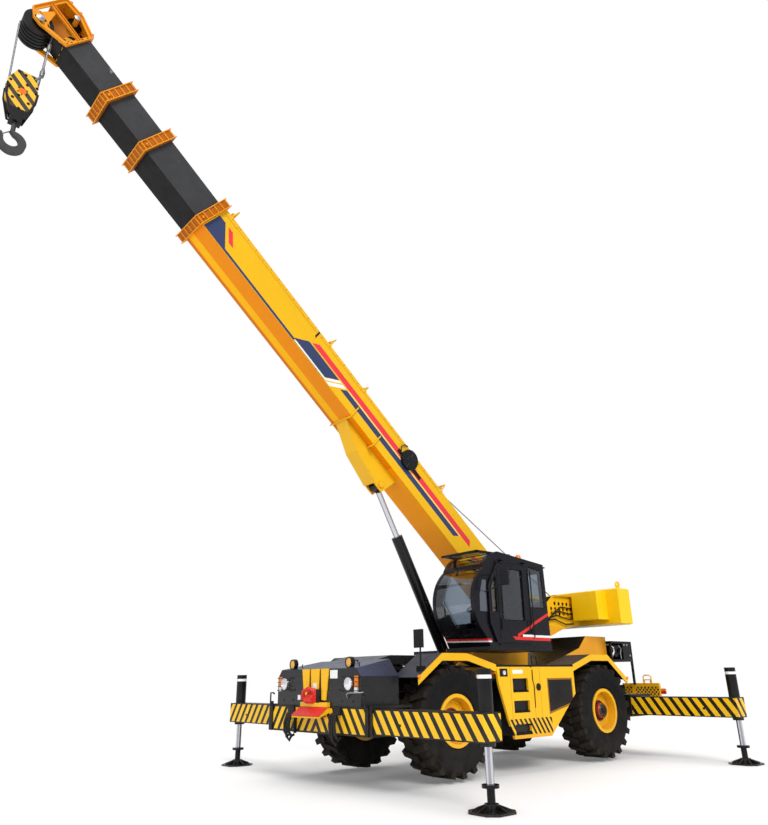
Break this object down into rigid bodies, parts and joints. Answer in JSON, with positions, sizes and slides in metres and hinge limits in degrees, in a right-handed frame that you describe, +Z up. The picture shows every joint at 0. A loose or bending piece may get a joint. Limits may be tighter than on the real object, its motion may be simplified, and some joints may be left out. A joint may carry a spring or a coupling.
{
  "type": "mobile crane",
  "caption": "Rough-terrain mobile crane on its outriggers: a telescopic boom raised over the front, side cab, hook block, counterweight and steered wheels.",
  "frame": {"origin": "on the ground under the slewing axis, midway between the axles", "axes": "+X to the front of the carrier, where the boom points, +Y to its left, +Z up"},
  "size_m": [12.7034, 6.6, 10.7598],
  "materials": {
    "body_yellow": "gloss",
    "frame_black": "satin",
    "boom_yellow": "gloss",
    "boom_orange": "gloss",
    "section_grey": "satin",
    "cab_black": "gloss",
    "tyre": "matte",
    "rim": "satin",
    "axle_iron": "matte",
    "cast_weight": "satin",
    "steel": "brushed",
    "rod_chrome": "polished",
    "rope": "matte",
    "glass": "clear",
    "lamp": "clear",
    "seat": "matte",
    "plastic": "matte"
  },
  "bodies": {
    "carrier": {"chassis_frame": "frame_black", "carrier_deck": "frame_black", "fenders": "frame_black", "side_boxes": "body_yellow", "front_hood": "frame_black", "engine_hood": "body_yellow", "engine_block": "axle_iron", "rear_housing": "frame_black", "rear_guard": "body_yellow", "front_step": "body_yellow", "lamps": "lamp", "front_mirror": "plastic", "slewing_ring": "steel", "front_axle": "axle_iron", "rear_axle": "axle_iron"},
    "knuckle_front_left": {"knuckle_front_left": "axle_iron"},
    "wheel_front_left": {"tyre_front_left": "tyre", "rim_front_left": "rim"},
    "beam_front_left": {"outrigger_beam_front_left": "frame_black"},
    "jack_front_left": {"outrigger_jack_front_left": "steel", "outrigger_pad_front_left": "frame_black"},
    "knuckle_front_right": {"knuckle_front_right": "axle_iron"},
    "wheel_front_right": {"tyre_front_right": "tyre", "rim_front_right": "rim"},
    "beam_front_right": {"outrigger_beam_front_right": "frame_black"},
    "jack_front_right": {"outrigger_jack_front_right": "steel", "outrigger_pad_front_right": "frame_black"},
    "knuckle_rear_left": {"knuckle_rear_left": "axle_iron"},
    "wheel_rear_left": {"tyre_rear_left": "tyre", "rim_rear_left": "rim"},
    "beam_rear_left": {"outrigger_beam_rear_left": "frame_black"},
    "jack_rear_left": {"outrigger_jack_rear_left": "steel", "outrigger_pad_rear_left": "frame_black"},
    "knuckle_rear_right": {"knuckle_rear_right": "axle_iron"},
    "wheel_rear_right": {"tyre_rear_right": "tyre", "rim_rear_right": "rim"},
    "beam_rear_right": {"outrigger_beam_rear_right": "frame_black"},
    "jack_rear_right": {"outrigger_jack_rear_right": "steel", "outrigger_pad_rear_right": "frame_black"},
    "upper": {"upper_frame": "body_yellow", "cab_shell": "cab_black", "cab_glass": "glass", "cab_seat": "seat", "cab_controls": "plastic", "counterweight": "cast_weight"},
    "door": {"cab_door": "cab_black", "door_glass": "glass"},
    "main_winch": {"main_winch_drum": "frame_black"},
    "auxiliary_winch": {"auxiliary_winch_drum": "frame_black"},
    "boom": {"boom_base": "boom_yellow"},
    "section_2": {"boom_section_2": "section_grey"},
    "section_3": {"boom_section_3": "section_grey"},
    "section_4": {"boom_section_4": "section_grey", "boom_head": "boom_orange", "head_sheaves": "frame_black"},
    "hook_block": {"hook_block": "boom_yellow", "hoist_falls": "rope"},
    "hook": {"hook": "axle_iron"},
    "lift_barrel": {"luffing_barrel": "frame_black"},
    "lift_rod": {"luffing_rod": "rod_chrome"}
  },
  "joints": [
    {"name": "steer_front_left", "type": "hinge", "parent": "carrier", "child": "knuckle_front_left", "pos_m": [1.82, 0.88, 0.787], "axis": [0, 0, 1], "range_deg": [-25, 25]},
    {"name": "spin_front_left", "type": "hinge", "parent": "knuckle_front_left", "child": "wheel_front_left", "pos_m": [1.82, 1.035, 0.787], "axis": [0, 1, 0], "continuous": true},
    {"name": "extend_beam_front_left", "type": "slide", "parent": "carrier", "child": "beam_front_left", "axis": [0, 1, 0], "range_m": [-1.45, 0]},
    {"name": "lower_jack_front_left", "type": "slide", "parent": "beam_front_left", "child": "jack_front_left", "axis": [0, 0, -1], "range_m": [-0.33, 0.08]},
    {"name": "steer_front_right", "type": "hinge", "parent": "carrier", "child": "knuckle_front_right", "pos_m": [1.82, -0.88, 0.787], "axis": [0, 0, 1], "range_deg": [-25, 25]},
    {"name": "spin_front_right", "type": "hinge", "parent": "knuckle_front_right", "child": "wheel_front_right", "pos_m": [1.82, -1.035, 0.787], "axis": [0, 1, 0], "continuous": true},
    {"name": "extend_beam_front_right", "type": "slide", "parent": "carrier", "child": "beam_front_right", "axis": [0, -1, 0], "range_m": [-1.45, 0]},
    {"name": "lower_jack_front_right", "type": "slide", "parent": "beam_front_right", "child": "jack_front_right", "axis": [0, 0, -1], "range_m": [-0.33, 0.08]},
    {"name": "steer_rear_left", "type": "hinge", "parent": "carrier", "child": "knuckle_rear_left", "pos_m": [-1.82, 0.88, 0.787], "axis": [0, 0, 1], "range_deg": [-25, 25]},
    {"name": "spin_rear_left", "type": "hinge", "parent": "knuckle_rear_left", "child": "wheel_rear_left", "pos_m": [-1.82, 1.035, 0.787], "axis": [0, 1, 0], "continuous": true},
    {"name": "extend_beam_rear_left", "type": "slide", "parent": "carrier", "child": "beam_rear_left", "axis": [0, 1, 0], "range_m": [-1.45, 0]},
    {"name": "lower_jack_rear_left", "type": "slide", "parent": "beam_rear_left", "child": "jack_rear_left", "axis": [0, 0, -1], "range_m": [-0.33, 0.08]},
    {"name": "steer_rear_right", "type": "hinge", "parent": "carrier", "child": "knuckle_rear_right", "pos_m": [-1.82, -0.88, 0.787], "axis": [0, 0, 1], "range_deg": [-25, 25]},
    {"name": "spin_rear_right", "type": "hinge", "parent": "knuckle_rear_right", "child": "wheel_rear_right", "pos_m": [-1.82, -1.035, 0.787], "axis": [0, 1, 0], "continuous": true},
    {"name": "extend_beam_rear_right", "type": "slide", "parent": "carrier", "child": "beam_rear_right", "axis": [0, -1, 0], "range_m": [-1.45, 0]},
    {"name": "lower_jack_rear_right", "type": "slide", "parent": "beam_rear_right", "child": "jack_rear_right", "axis": [0, 0, -1], "range_m": [-0.33, 0.08]},
    {"name": "slew", "type": "hinge", "parent": "carrier", "child": "upper", "pos_m": [0, 0, 1.25], "axis": [0, 0, 1], "continuous": true},
    {"name": "slide_door", "type": "slide", "parent": "upper", "child": "door", "axis": [-1, 0, 0], "range_m": [0, 0.62]},
    {"name": "spin_main_winch", "type": "hinge", "parent": "upper", "child": "main_winch", "pos_m": [-1.9, 0, 2.56], "axis": [0, 1, 0], "continuous": true},
    {"name": "spin_auxiliary_winch", "type": "hinge", "parent": "upper", "child": "auxiliary_winch", "pos_m": [-2.38, 0, 2.56], "axis": [0, 1, 0], "continuous": true},
    {"name": "luff", "type": "hinge", "parent": "upper", "child": "boom", "pos_m": [-0.7, 0, 1.95], "axis": [0, -1, 0], "range_deg": [-35.5, 29.5]},
    {"name": "extend_section_2", "type": "slide", "parent": "boom", "child": "section_2", "axis": [0.7604, 0, 0.6494], "range_m": [-1.12, 6]},
    {"name": "extend_section_3", "type": "slide", "parent": "section_2", "child": "section_3", "axis": [0.7604, 0, 0.6494], "range_m": [-0.68, 6]},
    {"name": "extend_section_4", "type": "slide", "parent": "section_3", "child": "section_4", "axis": [0.7604, 0, 0.6494], "range_m": [-0.76, 6]},
    {"name": "hang_hook_block", "type": "hinge", "parent": "section_4", "child": "hook_block", "pos_m": [8.52319, 0, 10.13639], "axis": [0, -1, 0], "range_deg": [-30, 36]},
    {"name": "swivel_hook", "type": "hinge", "parent": "hook_block", "child": "hook", "pos_m": [8.52319, 0, 8.12639], "axis": [0, 0, 1], "continuous": true},
    {"name": "swing_lift_barrel", "type": "hinge", "parent": "upper", "child": "lift_barrel", "pos_m": [0.6, 0, 1.42], "axis": [0, -1, 0], "range_deg": [-38, 31.6]},
    {"name": "extend_lift_rod", "type": "slide", "parent": "lift_barrel", "child": "lift_rod", "axis": [0.4822, 0, 0.876], "range_m": [-0.806, 0.67]}
  ],
  "couplings": [
    {"joint": "steer_front_right", "follows": "steer_front_left", "ratio": 1},
    {"joint": "steer_rear_right", "follows": "steer_rear_left", "ratio": 1},
    {"joint": "swing_lift_barrel", "follows": "luff", "ratio": 1.07},
    {"joint": "extend_lift_rod", "follows": "luff", "m_per_rad": 1.3},
    {"joint": "hang_hook_block", "follows": "luff", "ratio": -1}
  ]
}
